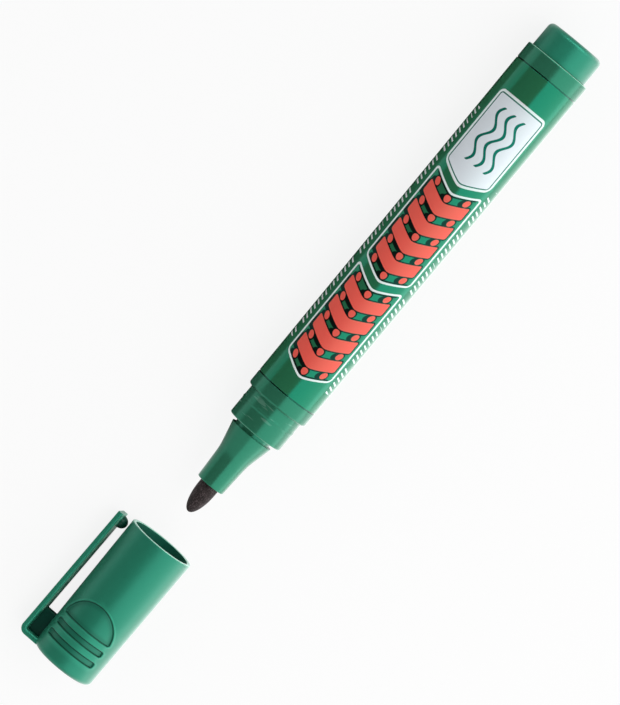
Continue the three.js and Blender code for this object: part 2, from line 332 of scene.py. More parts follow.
# The pale serves both real scuffs on the collar and painted highlights past a tone of 1
plastic_index, pale_wear_and_highlight = 1.7, (0.5, 0.78, 0.66, 1)
melt_scale, melt_drift = 70, 0.12
streak_scale, streak_rub = (60, 900, 900), 0.12
ripple_scale, ripple_share = 160, 0.3
# How far painted shade turns to dark metal, and how much duller it is
shade_metal, shade_dulling = 0.6, 0.35
haze_index, haze_roughness = 1.2, 0.35


def moulded(name, color, gleam, roughness, grain, grain_height, haze=0):
    """Moulded plastic. Its colour drifts a little with the flow of the melt, handling has
    rubbed fine streaks along it, and its surface carries the mould's grain over slow ripples.
    The gleam tints what it mirrors face on, and a haze whitens what it mirrors at a slant.
    Where a piece has a tone, a share below or above 0, it is painted darker and duller as
    shade or lighter as light, and past 1 painted pale as a highlight."""
    constants = {"IOR": plastic_index, "Specular Tint": (*gleam, 1)}
    if haze:
        constants["Coat Weight"] = haze
        constants["Coat IOR"], constants["Coat Roughness"] = haze_index, haze_roughness
    material, shader, here = coated(name, constants)
    drift = here.noise(melt_scale, detail=3)
    rubbed_and_lit = here.stretched(streak_scale).noise(1, detail=3, roughness=0.6)
    tone = here.node("ShaderNodeAttribute", {"attribute_name": "tone"}, output="Fac")
    base = drift.over(tinted(color, 1 - melt_drift), tinted(color, 1 + melt_drift))
    # The tone scales the colour: below 0 it paints shade, above 0 light, past 1 a pale highlight
    inputs = {"Vector": base, "Scale": tone + 1}
    base = tone.node("ShaderNodeVectorMath", {"operation": "SCALE"}, inputs)
    base = (tone - 1).larger(0).over(base, pale_wear_and_highlight)
    painted_shade = (tone * -1).larger(0)
    grains, ripples = here.noise(grain, roughness=0.6), here.noise(ripple_scale, detail=1)
    skin = grains * (1 - ripple_share) + ripples * ripple_share
    feed(
        shader,
        Base_Color=base,
        # Painted shade mirrors little too: the metal part of its shader is as dark as its base
        Metallic=painted_shade * shade_metal,
        Roughness=rubbed_and_lit * streak_rub + (roughness - streak_rub / 2) + painted_shade * shade_dulling,
        Normal=bumped(skin, grain_height),
    )
    return material, shader, here, base


gloss_green, gleam_green = (0.026, 0.142, 0.081), (0.13, 1, 0.66)
barrel_plastic, shader, here, base = moulded(
    "barrel_plastic", gloss_green, gleam_green, roughness=0.22, grain=2200, grain_height=3e-6
)
along = here.along("X")
film_middle = shoulder_x - MM * (front_ring + barrel_length - rear_ring) / 2
film_half = MM * (barrel_length - front_ring - rear_ring) / 2
past_film = (along - film_middle).size() - film_half
# The floor of each seam, beside the film's edge, is painted dark as shade
seam_reach, seam_soft, seam_shade = 0.31 * MM, 0.05 * MM, 0.08
in_recess = (past_film - 0.01 * MM).inside(0.02 * MM)
seam = (past_film.size() - seam_reach).inside(seam_soft) * in_recess
# The cap's bore has scuffed the collar in short pale arcs, where two noises add up to much
arc_scale, scuff_start, scuff_slope, scuff_most = (1100, 150, 150), 0.85, 3, 0.13
arcs = here.stretched(arc_scale).noise(1, roughness=0.6) + here.noise(130, detail=1) * 0.5
collar_middle, scuffed_half = shoulder_x + MM * collar_length / 2, MM * (collar_length / 2 - 0.5)
on_collar = ((along - collar_middle).size() - scuffed_half).inside(0.8 * MM)
scuffs = ((arcs - scuff_start) * scuff_slope).larger(0).smaller(scuff_most) * on_collar
base = scuffs.over(base, pale_wear_and_highlight)
feed(shader, Base_Color=seam.over(base, tinted(gloss_green, seam_shade)))


def toned(piece, rule):
    """Gives each vertex its tone, by a rule on its station and its place across the axis."""
    spots = np.empty(3 * len(piece.data.vertices))
    piece.data.vertices.foreach_get("co", spots)
    spots = (spots.reshape(-1, 3) - [shoulder_x, axis_y, axis_z]).T / MM
    tone = rule(*spots).astype(np.float32)
    piece.data.attributes.new("tone", "FLOAT", "POINT").data.foreach_set("value", tone)


# Painted highlights on the rear edge and the collar's front edge: strength, and length and depth
# covered
rear_edge_highlight, rear_highlight_length, rear_highlight_depth = 1.5, 0.16, 0.4
collar_edge_highlight, collar_highlight_length, collar_highlight_depth = 1.3, 0.1, 0.35


def barrel_tone(station, y, z):
    """Painted highlights on the outer edges of the barrel's rear end and of the collar's front.
    """
    radius = np.hypot(y, z)
    at_rear = station < rear_highlight_length - barrel_length
    at_collar = station > collar_length - collar_highlight_length
    rear_edge = at_rear & (radius > rear_radius - rear_highlight_depth)
    collar_edge = at_collar & (radius > collar_radius - collar_highlight_depth)
    return rear_edge_highlight * rear_edge + collar_edge_highlight * collar_edge


barrel = woven("barrel_moulding", barrel_plastic, (barrel_surface(), True))
toned(barrel, barrel_tone)
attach(barrel, "barrel")
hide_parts("barrel")

# Label sleeve: a glossy printed film 0.15 mm thick, shrunk round the barrel in its recess so
# that it lies flush with the bare rings. Its print is generic: arrow bands in coral with
# black shadows, a pale panel with wave lines, and rows of fine white strokes.
film_thickness, film_round, seam_width = 0.15, 0.04, 0.3
print_angle, print_radius = np.radians(110.6), 7.87
outer_share = 0.97
film_front = -front_ring - seam_width
film_rear = -barrel_length + rear_ring + seam_width


def add_map(piece, name, across, along):
    """UV map of a woven ring: one value across for each column and one along for each row,
    both with the closing value at the end."""
    i, j = np.arange(len(along) - 1)[:, None], np.arange(len(across) - 1)[None, :]
    rows = np.stack(np.broadcast_arrays(i, i, i + 1, i + 1, j)[:4], -1)
    columns = np.stack(np.broadcast_arrays(j, j + 1, j + 1, j, i)[:4], -1)
    values = np.stack([across[columns], along[rows]], -1).astype(np.float32)
    piece.data.uv_layers.new(name=name).data.foreach_set("uv", values.ravel())


def sleeve():
    """The film's outline turned about the axis. One map spreads its outer face across its
    square, and the other holds millimetres of wrap and length."""
    profile = rounded([
        [film_rear, barrel_radius(film_rear) - film_thickness, 0],
        [film_rear, barrel_radius(film_rear), film_round],
        [film_front, barrel_radius(film_front), film_round],
        [film_front, barrel_radius(film_front) - film_thickness, 0],
    ], steps=3, hold=0.02)
    surface = turned(profile, turns(start=print_angle - np.pi))
    piece = woven("film_sleeve", printed_film, (surface, True), merge=False)
    round_share = np.arange(turned_columns + 1) / turned_columns
    back = np.r_[-profile[:, 0], -profile[0, 0]]
    length_share = outer_share * (-film_rear - back) / (film_front - film_rear)
    length_share[-1] = 1
    add_map(piece, "OFBake", round_share, length_share)
    add_map(piece, "wrap", (0.5 - round_share) * 2 * np.pi * print_radius, back)
    return piece


def within(round_by, *limits):
    """Distance to a shape that lies inside every limit, with its corners rounded: outside the
    shrunken limits it is the length of their overshoots, inside it is the nearest limit."""
    shrunk = [limit + round_by for limit in limits]
    nearest, overshoot = shrunk[0], None
    for limit in shrunk:
        nearest = nearest.larger(limit)
        past = limit.larger(0).math("POWER", 2)
        overshoot = past if overshoot is None else overshoot + past
    return overshoot.math("SQRT") + nearest.smaller(0) - round_by


arrow_slope, arrow_tip = 0.5, 0.8


def arrow_station(back, across):
    """Distance behind the shoulder along lines bent to an arrow that points to the nib, with a
    round tip."""
    bend = (across.math("POWER", 2) + arrow_tip ** 2).math("SQRT") - arrow_tip
    return back - bend * arrow_slope


blocks = (8.6, 33.0), (35.4, 59.8)
block_half, block_round, block_margin = 6.75, 0.9, 0.6
# A whole number of bands between like places in the blocks, so that both hold the same ones
band_pitch = (blocks[1][0] - blocks[0][0]) / 5
band_half, band_reach, band_round, dot_pitch, dot_radius = 1.4, 5.75, 0.4, 4.2, 0.75
lean = (1 + arrow_slope ** 2) ** -0.5


def block_edge(back, across):
    """Distance to the outlines that enclose the bands, each a length of the arrow band."""
    station = arrow_station(back, across)
    edges = [
        within(block_round, first - station, station - last, across.size() - block_half)
        for first, last in blocks
    ]
    return edges[0].smaller(edges[1])


def band_motif(back, across):
    """Distance to the coral shapes: bands at an even pitch, two on each side of a block's
    middle, and a row of dots midway between them, kept inside the blocks."""
    station = arrow_station(back, across)
    off_band = (station - (sum(blocks[0]) + band_pitch) / 2).swing(band_pitch / 2)
    band = within(band_round, off_band * lean - band_half, across.size() - band_reach)
    off_gap = (band_pitch / 2 - off_band) * lean
    off_dot = across.swing(dot_pitch / 2)
    dot = (off_gap.math("POWER", 2) + off_dot.math("POWER", 2)).math("SQRT") - dot_radius
    dot = dot.larger(across.size() - band_reach)
    return band.smaller(dot).larger(block_edge(back, across) + block_margin)


outline_half, ink_spread, cast_back, cast_aside, cast_spread = 0.25, 0.3, 0.5, 0.9, 0.1
panel_front, panel_rear, panel_half, panel_round, panel_border = 62.2, 84.2, 6.6, 1.1, 0.3
wave_length, wave_height, wave_shift = 7, 0.85, 1.2
wave_pitch, wave_half, wave_round, wave_lean = 2.6, 0.3, 0.2, 0.85
# Each row of strokes: its place across, half of its height, and where it starts and ends
stroke_rows = (8.85, 1, 9, 66), (-9.6, 1.15, 14, 78)
stroke_slant, stroke_pitch, stroke_half, stroke_round, stroke_soft = 0.3, 1.3, 0.22, 0.05, 0.08
group_pitch, group_gap, group_shift = 9.6, 0.6, 2
coral, ink_black = (0.95, 0.06, 0.05, 1), (0.006, 0.002, 0.003, 1)
print_white, panel_pale = (0.9, 0.91, 0.93, 1), (0.86, 0.84, 0.92, 1)
line_green = (0.005, 0.07, 0.05, 1)
film_green, film_gleam = (0.026, 0.157, 0.071), (0, 1, 0.7, 1)


def printed(here, base):
    """The film's colour with the print laid over it, layer by layer, and masks of the thick
    matt inks and of the black."""
    wrap = here.node("ShaderNodeUVMap", {"uv_map": "wrap"})
    across, back = wrap.along("X"), wrap.along("Y")
    edge = block_edge(back, across)
    outline = edge.size() - outline_half
    motif = band_motif(back, across)
    shadow = motif - ink_spread
    for share in 0.5, 1:
        moved = band_motif(back + cast_back * share, across + cast_aside * share)
        shadow = shadow.smaller(moved - cast_spread)
    shadow = shadow.larger(edge + outline_half)
    color = outline.inside().over(base, print_white)
    color = shadow.inside().over(color, ink_black)
    color = motif.inside().over(color, coral)
    station = arrow_station(back, across)
    sides = panel_front - station, back - panel_rear, across.size() - panel_half
    panel = within(panel_round, *sides)
    for borders, ink in (-1, print_white), (1, line_green), (2, panel_pale):
        color = (panel + borders * panel_border).inside().over(color, ink)
    from_middle = back - ((panel_front + panel_rear) / 2 + wave_shift)
    swell = (from_middle * (2 * np.pi / wave_length)).math("SINE") * wave_height
    level = across - swell
    wave = within(
        wave_round,
        # The lines lean where they climb, so their width is measured a little less steeply
        level.swing(wave_pitch / 2) * wave_lean - wave_half,
        level.size() - wave_pitch - 0.5,
        from_middle.size() - wave_length,
    )
    color = wave.inside().over(color, line_green)
    for row, half, first, last in stroke_rows:
        slant = back + (across - row) * stroke_slant
        off_gap = (slant + group_shift).swing(group_pitch / 2)
        stroke = (slant.swing(stroke_pitch / 2) - stroke_half).larger(group_gap - off_gap)
        sides = stroke, (across - row).size() - half, first - back, back - last
        color = within(stroke_round, *sides).inside(stroke_soft).over(color, print_white)
    matt = motif.smaller(panel).smaller(outline).inside()
    black = shadow.larger(0.05 - motif).inside()
    return color, matt, black


speck_scale, speck_radius, speck_soft, speck_share = 260, 0.03, 0.02, 0.4
film_roughness, smear_rub, ink_matting, black_matting, black_metal = 0.12, 0.1, 0.38, 0.15, 0.65
constants = {"IOR": plastic_index, "Specular Tint": film_gleam}
printed_film, shader, here = coated("printed_film", constants)
base = here.noise(60).over(tinted(film_green, 0.95), tinted(film_green, 1.05))
inputs = {"Vector": here, "Scale": speck_scale}
specks = here.node("ShaderNodeTexVoronoi", {}, inputs, "Distance")
specks = (specks - speck_radius).inside(speck_soft) * speck_share
smears = here.stretched((25, 300, 300)).noise(1, detail=4, roughness=0.65)
print_color, matt, black = printed(here, specks.over(base, print_white))
ripples = here.noise(140, detail=1) * 0.8 + here.noise(900, detail=1) * 0.2
feed(
    shader,
    Base_Color=print_color,
    # The black's pigment mirrors little: the metal part of its shade is as dark as its base
    Metallic=black * black_metal,
    Roughness=smears * smear_rub + film_roughness + matt * ink_matting + black * black_matting,
    Normal=bumped(ripples, 4e-6),
)
label_sleeve = sleeve()
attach(label_sleeve, "barrel")
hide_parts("label_sleeve")

# Ink reservoir and its wrap: a rod of bonded polyester fibre soaked in green ink, in a thin
# clear film that keeps the ink off the barrel's wall. Both are hidden, so the frame's own
# solids stay, with their finishes.
ink_deep, ink_light = (0.002, 0.035, 0.022, 1), (0.02, 0.11, 0.075, 1)
reservoir_fibre, shader, here = coated("reservoir_fibre", {"IOR": 1.4})
strands = here.stretched((120, 5200, 5200)).noise(1, detail=3, roughness=0.7)
soak = here.noise(90)
feed(
    shader,
    Base_Color=(strands * 0.6 + soak * 0.4).over(ink_deep, ink_light),
    Roughness=strands * 0.2 + 0.75,
    Normal=bumped(strands, 6e-5),
)
clear_dull, clear_bright = (0.75, 0.8, 0.77, 1), (0.9, 0.93, 0.91, 1)
clear_film, shader, here = coated("clear_film", {"IOR": 1.45, "Alpha": 0.3})
creases = here.stretched((70, 400, 400)).noise(1, detail=3)
feed(
    shader,
    Base_Color=creases.over(clear_dull, clear_bright),
    Roughness=creases * 0.2 + 0.08,
    Normal=bumped(creases, 4e-5),
)
for node, material in ("ink_reservoir", reservoir_fibre), ("reservoir_film", clear_film):
    frame["nodes"][node].material_slots[0].material = material

# Nozzle: the nib holder, a gloss moulding of its own. Its spigot snaps behind the collar's
# lip with a barb, its flare ends in a sharp back edge just ahead of the collar, and its snout
# tapers to a thin rim round the nib.
neck_length, flare_length, nozzle_length = 1.05, 6.2, 14.31
tip_radius, waist_radius, flare_radius = 3.42, 3.77, 5.29
waist_blend, spigot_length = 0.25, 9.3
barb_length, barb_height, barb_gap, barb_round = 1.2, 0.35, 0.05, 0.08
spigot_round, flare_round, tip_round, tip_bore_round = 0.2, 0.06, 0.22, 0.12
nib_radius, nib_gap = 2.33, 0.08
flare_station = collar_length + neck_length
waist_station = flare_station + flare_length
nozzle_reach = flare_station + nozzle_length


def nozzle_radius(station):
    """Outer radius: two straight tapers, the snout's and the flare's. It is half of their sum
    and of the root of their squared difference plus the blend's, which rounds the waist."""
    snout_share = (nozzle_reach - station) / (nozzle_reach - waist_station)
    flare_share = (waist_station - station) / flare_length
    snout = tip_radius + (waist_radius - tip_radius) * snout_share
    flare = waist_radius + (flare_radius - waist_radius) * flare_share
    return (snout + flare + np.hypot(snout - flare, waist_blend)) / 2


def nozzle_surface():
    """The nozzle's outline turned about the axis."""
    rear = flare_station - spigot_length
    bore = nib_radius + nib_gap
    barb_front = collar_length - collar_lip - barb_gap
    spigot = rounded([
        [rear + 1, bore, 0],
        [rear, bore, spigot_round],
        [rear, neck_radius, spigot_round],
        [barb_front - barb_length, neck_radius, 0],
        [barb_front, neck_radius + barb_height, barb_round],
        [barb_front, neck_radius, 0],
        [flare_station, neck_radius, 0],
        [flare_station, nozzle_radius(flare_station), flare_round],
        [flare_station + 0.5, nozzle_radius(flare_station + 0.5), 0],
    ])
    curve = np.linspace(flare_station + 0.8, nozzle_reach - 1, 60)
    snout = rounded([
        [nozzle_reach - 0.9, nozzle_radius(nozzle_reach - 0.9), 0],
        [nozzle_reach, tip_radius, tip_round],
        [nozzle_reach, bore, tip_bore_round],
        [nozzle_reach - 1, bore, 0],
    ])
    profile = np.vstack([spigot, np.c_[curve, nozzle_radius(curve)], snout])
    return turned(profile)


nozzle = woven("nozzle_moulding", barrel_plastic, (nozzle_surface(), True))
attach(nozzle, "barrel")
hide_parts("nozzle")

# Nib: a rod of bonded fibre soaked in dark ink and ground to a bullet tip. Its rear is a blunt
# cone, pushed into the reservoir.
nib_exposed, nib_tip_length = 7.62, 6.55
nib_tail_length, nib_point_length, nib_point_radius = 10.5, 5, 0.8
point_round, cone_round = 0.3, 3


def nib_surface():
    """The nib's outline turned about the axis: a cone, a rod and half an ellipse."""
    rear = flare_station - spigot_length - nib_tail_length
    tip_base = nozzle_reach + nib_exposed - nib_tip_length
    rod = rounded([
        [rear, 0, 0],
        [rear, nib_point_radius, point_round],
        [rear + nib_point_length, nib_radius, cone_round],
        [tip_base, nib_radius, 0],
    ])
    sweep = np.radians(np.linspace(2, 90, 45))
    tip = np.c_[tip_base + nib_tip_length * np.sin(sweep), nib_radius * np.cos(sweep)]
    return turned(np.vstack([rod, tip]), turns(160))


felt_shades = {"stops": [
    (0.42, (0.006, 0.003, 0.003)),
    (0.62, (0.13, 0.1, 0.104)),
    (0.51, (0.022, 0.013, 0.013)),
]}
constants = {"IOR": 1.25, "Sheen Weight": 0.12, "Sheen Roughness": 0.6}
nib_felt, shader, here = coated("nib_felt", constants)
fibres = here.stretched((900, 6500, 6500)).noise(1, detail=3, roughness=0.7)
specks = here.noise(4200, detail=3, roughness=0.7)
felt = fibres * 0.35 + specks * 0.45 + here.noise(700) * 0.2
feed(
    shader,
    Base_Color=felt.node("ShaderNodeValToRGB", felt_shades, {"Fac": felt}),
    Roughness=specks * 0.25 + 0.65,
    Normal=bumped(felt, 1.6e-4),
)
nib = woven("nib_rod", nib_felt, (nib_surface(), False))
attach(nib, "barrel")
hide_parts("nib")

# Tail plug: a satin cup pressed into the barrel's rear. The mould was spark-eroded, which
# leaves a fine even grain, and the plug's step stops on the barrel's end.
tail_length, tail_radius, tail_end_radius = 6.38, 7.12, 7.07
tail_wall, plug_gap, seat_gap = 1.3, 0.08, 0.05
tail_round, step_round, plug_round, hollow_round, floor_round = 1.2, 0.1, 0.3, 0.2, 0.5
satin_green, satin_gleam = (0.018, 0.155, 0.094), (0.02, 1, 0.66)
satin_plastic = moulded(
    "cap_plastic", satin_green, satin_gleam, roughness=0.42, grain=5200, grain_height=9e-6, haze=1
)[0]


def plug_surface():
    """The plug's outline turned about the axis, from the middle of its flat end round to the
    middle of its hollow's floor."""
    end, step = -barrel_length - tail_length, -barrel_length - seat_gap
    mouth = -barrel_length + plug_depth
    spigot = barrel_radius(mouth) - barrel_wall - plug_gap
    return turned(rounded([
        [end, 0, 0],
        [end, tail_end_radius, tail_round],
        [step, tail_radius, step_round],
        [step, spigot, 0],
        [mouth, spigot, plug_round],
        [mouth, spigot - tail_wall, hollow_round],
        [end + tail_wall, spigot - tail_wall, floor_round],
        [end + tail_wall, 0, 0],
    ], steps=10))


tail_plug = woven("tail_cup", satin_plastic, (plug_surface(), False))
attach(tail_plug, "barrel")
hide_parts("tail_plug")

# Cap: a satin moulding like the plug, closed at one end. Both flanks have two slots and a
# half-round dish for the fingers, all 0.45 mm deep with softly rounded lips. Stations in the
# cap are measured from its mouth.
cap_length, cap_mouth_radius, cap_end_radius = 34.9, 8.03, 7.7
cap_wall, cap_end_wall, cap_end_round, cap_floor_round, mouth_round = 0.88, 1.3, 1.1, 0.3, 0.2
recess_depth, recess_half, wall_start, wall_width = 0.45, 6.35, 0.06, 0.17
slot_edges, slot_width, slot_round = (4.2, 7.25), 1.5, 0.5
dish_base, dish_radius = 10.25, 6.35
cap_mouth = (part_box("cap_shell")[0][0] - shoulder_x) / MM
hinge = next(joint for joint in frame["joints"] if joint["name"] == "clip_flex")
clip_angle = np.pi + np.arctan2(-hinge["axis"][1], hinge["axis"][2])


def cap_radius(station):
    """Outer radius of the cap's straight taper from its mouth to its closed end."""
    return cap_mouth_radius + (cap_end_radius - cap_mouth_radius) * station / cap_length


def crossed(one, other):
    """Distance to where two limits are both kept, with the slots' rounded corners, as within()
    works it out for the print."""
    one, other = one + slot_round, other + slot_round
    overshoot = np.hypot(np.maximum(one, 0), np.maximum(other, 0))
    return overshoot + np.minimum(np.maximum(one, other), 0) - slot_round


def outline(station, across):
    """Distance to the nearest outline of the finger recesses, negative inside one. A slot is
    a rectangle, and the dish is half of a disc, on the mouth's side of its base line."""
    shapes = []
    for edge in slot_edges:
        middle = cap_length - edge - slot_width / 2
        side = np.abs(station - middle) - slot_width / 2
        shapes.append(crossed(side, np.abs(across) - recess_half))
    base = cap_length - dish_base
    shapes.append(crossed(np.hypot(station - base, across) - dish_radius, station - base))
    return np.minimum.reduce(shapes)


# Each bell curve's height, and its middle and width past the outline
# The lip's own bell is shape; then come a painted highlight on it, and painted shade in each
# recess's corner and across the slots
recess_lip, lip_highlight = (0.05, 0.2, 0.15), (0.5, 0.22, 0.16)
corner_shade, slot_shade = (0.84, -0.12, 0.13), (0.25, -0.6, 0.5)


def bell(distance, height, middle, width):
    """Bell curve: its height at the middle, fading over the width on either side."""
    return height * np.exp(-(((distance - middle) / width) ** 2))


def recess(nearest):
    """Depth of the finger recesses: a smooth step down across the outline, and a faint lip
    just outside it."""
    step = np.clip((wall_start - nearest) / wall_width, 0, 1)
    return recess_depth * step * step * (3 - 2 * step) - bell(nearest, *recess_lip)


# Degrees of each flank with close columns, and the reach, pitches and least gap of close rows
flank_reach, edge_reach, edge_step, dish_step, closest = 57, 0.3, 0.06, 0.08, 0.03


def cap_surface():
    """The cap's outline turned about the axis, with the recesses taken off its outer radius.
    Rows and columns crowd together where a recess's edge needs them."""
    flank = np.radians(np.linspace(-flank_reach, flank_reach, 191))
    gap = np.radians(np.linspace(flank_reach - 90, 90 - flank_reach, 23))[1:-1]
    angles = np.concatenate([
        clip_angle + gap, clip_angle + np.pi / 2 + flank,
        clip_angle + np.pi + gap, clip_angle + 1.5 * np.pi + flank,
    ])
    floor = cap_length - cap_end_wall
    inside = rounded([
        [floor, 0, 0],
        [floor, cap_radius(floor) - cap_wall, cap_floor_round],
        [0, cap_mouth_radius - cap_wall, mouth_round],
        [0, cap_mouth_radius, mouth_round],
        [1.5, cap_radius(1.5), 0],
    ])
    edges = [cap_length - edge - side for edge in slot_edges for side in (0, slot_width)]
    crowded = [edge + np.arange(-edge_reach, edge_reach + 0.01, edge_step) for edge in edges]
    base = cap_length - dish_base
    dish = np.arange(base - dish_radius - edge_reach, base + edge_reach, dish_step)
    outer = np.sort(np.concatenate([np.arange(3, cap_length - 2, 1.0), dish, *crowded]))
    outer = outer[np.r_[True, np.diff(outer) > closest]]
    end = rounded([
        [cap_length - 2, cap_radius(cap_length - 2), 0],
        [cap_length, cap_end_radius, cap_end_round],
        [cap_length, 0, 0],
    ], steps=12)
    profile = np.vstack([inside, np.c_[outer, cap_radius(outer)], end])
    station, radius = profile[:, :1], profile[:, 1:]
    out_side = np.r_[np.zeros(len(inside)), np.ones(len(outer)), np.zeros(len(end))][:, None]
    across = radius * np.cos(angles - clip_angle)
    depth = out_side * recess(outline(station, across))
    return place(cap_mouth + station, (radius - depth) * flats, angles)


def clip_side(y, z):
    """Reach from the axis in the clip's direction."""
    return y * np.cos(clip_angle) + z * np.sin(clip_angle)


# Painted shade on the recess floors and over the cap's inside, and a painted highlight round the
# mouth with how far in it reaches
recess_floor_shade, inside_shade, mouth_highlight, mouth_highlight_length = 0.1, 0.6, 1.9, 0.14


def cap_tone(station, y, z):
    """Painted shade inside each recess's outline, most in its corner and across the slots, a
    painted highlight on the lip just outside it and round the mouth, and painted shade, darker
    and duller, over the cap's inside."""
    station = station - cap_mouth
    nearest = outline(station, clip_side(y, z))
    painted_shade = bell(nearest, *corner_shade) + bell(nearest, *slot_shade) + recess_floor_shade * (nearest < -0.1)
    inside = np.hypot(y, z) < cap_mouth_radius - cap_wall + 0.05
    skin = np.where(inside, -inside_shade, bell(nearest, *lip_highlight) - painted_shade)
    return np.where(station < mouth_highlight_length, mouth_highlight, skin)


cap_shell = woven("cap_moulding", satin_plastic, (cap_surface(), False), crease=180)
toned(cap_shell, cap_tone)
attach(cap_shell, "cap")
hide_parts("cap_shell")

# Cap liner: a cup of natural polyethylene pressed into the closed end of the cap. Its rim
# seals on the nozzle's flare when the cap is home, which keeps the nib from drying.
liner_depth, liner_wall, liner_floor, liner_flange, liner_gap = 11, 0.7, 1.2, 4, 0.15
liner_floor_round, liner_step_round, liner_edge, liner_soft_edge = 0.5, 0.4, 0.2, 0.3
cap_home_gap = 0.2


def liner_surface():
    """The liner's outline turned about the axis, from its floor round to its closed end."""
    end = cap_length - cap_end_wall - seat_gap
    bore = nozzle_radius(cap_home_gap + liner_depth) + liner_gap
    flange = cap_radius(end) - cap_wall - plug_gap
    profile = rounded([
        [end - liner_floor, 0, 0],
        [end - liner_floor, bore, liner_floor_round],
        [liner_depth, bore, liner_edge],
        [liner_depth, bore + liner_wall, liner_soft_edge],
        [end - liner_flange, bore + liner_wall, liner_step_round],
        [end - liner_flange, flange, liner_edge],
        [end, flange, liner_soft_edge],
        [end, 0, 0],
    ])
    return turned(profile + [cap_mouth, 0])


natural_white, natural_gleam = (0.78, 0.8, 0.76), (0.6, 0.6, 0.6)
liner_plastic = moulded(
    "liner_plastic", natural_white, natural_gleam, roughness=0.36, grain=1800, grain_height=4e-6
)[0]
cap_liner = woven("liner_cup", liner_plastic, (liner_surface(), False))
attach(cap_liner, "cap")
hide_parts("cap_liner")

# Clip: moulded in one with the cap. An arm rises from the closed end and bends over into a
# flat springy blade, a web under the bend stiffens it, and a nub near the free end grips the
# pocket's edge.
clip_width, clip_thickness, clip_edge, clip_inner_edge = 5.42, 1.35, 0.2, 0.6
clip_root_reach, clip_tip_reach, clip_shortfall, clip_corner = 12.0, 11.45, 0.55, 1.7
clip_setback, arm_root_rise, arm_thickness = 0.01, 0.1, 1.38
web_length, web_width, web_edge = 6.25, 2.4, 0.2
nub_radius, nub_station, nub_gap, nub_root = 1.55, 1.85, 0.3, 0.5
flex_station = cap_length - arm_thickness - web_length


def clip_reach(station):
    """Distance of the blade's outer face from the axis, a straight line from tip to root."""
    share = (station - clip_shortfall) / (cap_length - clip_shortfall)
    return clip_tip_reach + (clip_root_reach - clip_tip_reach) * share


def clip_place(station, reach, aside):
    """Points in the frame's metres at a station in the cap, a reach from the axis in the
    clip's direction, and a distance to the side."""
    y = reach * np.cos(clip_angle) - aside * np.sin(clip_angle)
    z = reach * np.sin(clip_angle) + aside * np.cos(clip_angle)
    return place(cap_mouth + station, np.hypot(y, z), np.arctan2(z, y))


def carried(path, half_width, half_thickness, edge, inner_edge, soft_end=True):
    """A rectangle with rounded edges, wider ones on its inner side, carried along a path of
    [station, reach] points, square to it. At a soft end it shrinks along a quarter of a small
    circle, and both ends close on the path."""
    steps = 6
    quarter = np.radians(np.linspace(0, 90, steps + 1))
    turn = np.concatenate([quarter + side * np.pi / 2 for side in range(4)])
    side = np.repeat([[1, 1], [-1, 1], [-1, -1], [1, -1]], steps + 1, axis=0)
    radius = np.where(side[:, 1:] > 0, edge, inner_edge)
    core = side * ([half_width, half_thickness] - radius)
    rim = np.c_[np.cos(turn), np.sin(turn)]
    inset = np.zeros(len(path))
    if soft_end:
        ease = quarter[1:]
        last, on = path[-1], path[-1] - path[-2]
        on = on / np.linalg.norm(on)
        soft = edge / 3
        path = np.vstack([path, last + on * soft * np.sin(ease)[:, None]])
        inset = np.r_[inset, soft * (1 - np.cos(ease))]
    ahead = np.gradient(path, axis=0)
    ahead /= np.linalg.norm(ahead, axis=1)[:, None]
    square = np.c_[ahead[:, 1], -ahead[:, 0]]
    ring = core + (radius - inset[:, None, None]) * rim
    rows = path[:, None] + ring[..., 1:] * square[:, None]
    grid = clip_place(rows[..., 0], rows[..., 1], ring[..., 0])
    ends = [np.repeat(clip_place(*path[i], 0)[None, None], len(core), axis=1) for i in (0, -1)]
    return np.concatenate([ends[0], grid, ends[1]])


def clip_blade():
    """The arm, the bend and the blade as one strip on its centre line."""
    middle = clip_thickness / 2
    corner = cap_length - clip_setback - middle
    arm_root = cap_end_radius - cap_end_round + arm_root_rise
    line = rounded([
        [corner, arm_root, 0],
        [corner, clip_reach(corner) - middle, clip_corner - middle],
        [flex_station + 2, clip_reach(flex_station + 2) - middle, 0],
    ], steps=12)
    run = np.linspace(flex_station + 1.6, clip_shortfall + clip_edge / 3, 40)
    path = np.vstack([line, np.c_[run, clip_reach(run) - middle]])
    return carried(path, clip_width / 2, middle, clip_edge, clip_inner_edge)


def clip_nub():
    """Half an ellipsoid on the blade's inner face, its foot sunk in the blade."""
    centre = clip_shortfall + nub_station
    foot = clip_reach(centre) - clip_thickness
    height = foot - cap_radius(centre) - nub_gap
    rise = np.radians(np.linspace(0, 90, 16))[:, None]
    turn = turns(48)
    reach = np.vstack([[[foot + nub_root]], [[foot + nub_root]], foot - height * np.sin(rise)])
    radius = np.vstack([[[0]], [[nub_radius]], nub_radius * np.cos(rise)])
    return clip_place(centre + radius * np.cos(turn), reach, -radius * np.sin(turn))


def clip_web():
    """A plate under the bend, from inside the cap's wall to inside the blade."""
    length = web_length + arm_thickness / 2
    middle = flex_station + length / 2
    top = clip_reach(flex_station) - clip_thickness / 2
    rise = np.linspace(cap_end_radius - cap_wall / 2, top, 6)
    path = np.c_[np.full(6, middle), rise]
    return carried(path, web_width / 2, length / 2, web_edge, web_edge, soft_end=False)


clip = woven("clip", satin_plastic, (clip_blade(), False), (clip_nub(), False))
web = woven("clip_web", satin_plastic, (clip_web(), False))
for piece in clip, web:
    shell = bmesh.new()
    shell.from_mesh(piece.data)
    bmesh.ops.recalc_face_normals(shell, faces=shell.faces)
    shell.to_mesh(piece.data)
    shell.free()


# Lightening of the blade's face and the arm, painted light on the shaded inner face, and painted
# shade on the nub and web
face_lightening, inner_painted_light, arm_lightening, nub_painted_shade, web_painted_shade = 0.12, 1.4, 0.15, 0.9, 0.95


